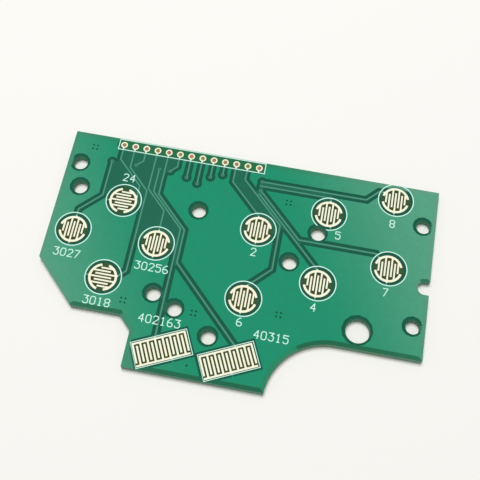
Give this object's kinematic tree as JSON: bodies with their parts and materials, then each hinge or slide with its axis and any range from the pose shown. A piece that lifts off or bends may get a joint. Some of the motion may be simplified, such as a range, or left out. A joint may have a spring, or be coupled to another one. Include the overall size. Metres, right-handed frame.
{
  "type": "printed circuit board",
  "caption": "Bare two-layer circuit board for a handheld game controller, with interdigitated button contacts, a header hole row, drilled post holes and a round speaker cut-out",
  "frame": {"origin": "middle of the bounding box in plan, at the underside of the links on the bottom face", "axes": "+X along the header row from the first hole to the last, +Y towards the header edge, +Z out of the contact face"},
  "size_m": [0.0812, 0.0502, 0.0016],
  "materials": {
    "laminate": "glass-epoxy laminate under green solder mask",
    "contact_plating": "gold flash over nickel on copper foil",
    "copper": "copper foil and plated barrels"
  },
  "bodies": {
    "root": {"laminate": "laminate", "track_up": "contact_plating", "track_down": "contact_plating", "track_left": "contact_plating", "track_right": "contact_plating", "track_start": "contact_plating", "track_select": "contact_plating", "track_a": "contact_plating", "track_b": "contact_plating", "track_x": "contact_plating", "track_y": "contact_plating", "track_l": "contact_plating", "track_r": "contact_plating", "ground_left": "contact_plating", "ground_middle": "contact_plating", "ground_tip": "contact_plating", "ground_right": "contact_plating", "ground_upper": "contact_plating", "ground_header": "contact_plating", "signal_vias": "copper", "link_left": "copper", "link_select": "copper", "link_y": "copper", "link_x": "copper", "link_a": "copper", "link_b": "copper"}
  },
  "joints": []
}
